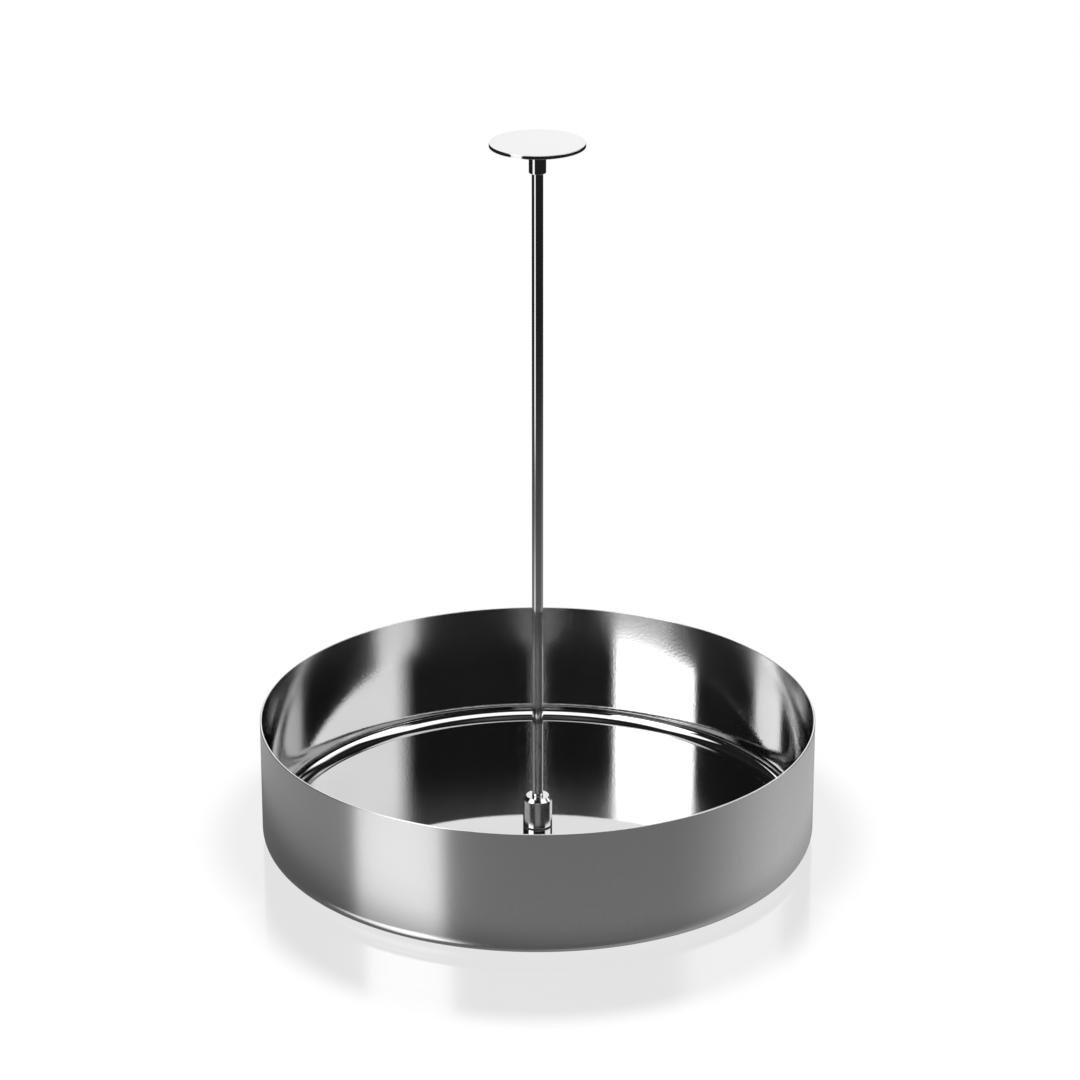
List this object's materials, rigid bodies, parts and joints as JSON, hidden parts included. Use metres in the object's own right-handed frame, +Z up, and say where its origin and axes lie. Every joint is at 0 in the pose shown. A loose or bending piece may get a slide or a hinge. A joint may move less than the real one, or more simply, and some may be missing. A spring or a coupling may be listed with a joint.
{
  "type": "serving tray with centre handle",
  "caption": "Round straight-walled steel serving tray with a thin upright centre rod and a flat disc grip, unscrewed to store.",
  "frame": {"origin": "centre of the foot ring, in the plane that the tray stands on", "axes": "+Z up along the tray's and the handle's common axis; +X and +Y are any two horizontal directions, as the object is round"},
  "size_m": [0.3, 0.3, 0.39],
  "materials": {
    "tray_steel": "drawn stainless sheet, near mirror inside and satin outside",
    "handle_steel": "turned stainless bar, polished",
    "fixing_steel": "plain machined stainless fasteners",
    "gasket_rubber": "black food-grade rubber, matt"
  },
  "bodies": {
    "tray": {"tray_pan": "tray_steel", "handle_socket": "handle_steel", "socket_gasket": "gasket_rubber", "underside_washer": "fixing_steel", "lock_washer": "fixing_steel", "fixing_screw": "fixing_steel"},
    "handle": {"rod": "handle_steel", "grip_collar": "handle_steel", "disc_stud": "fixing_steel", "grip_disc": "handle_steel"}
  },
  "joints": [
    {"name": "handle_lift", "type": "slide", "parent": "tray", "child": "handle", "axis": [0, 0, 1], "range_m": [0, 0.06]}
  ]
}
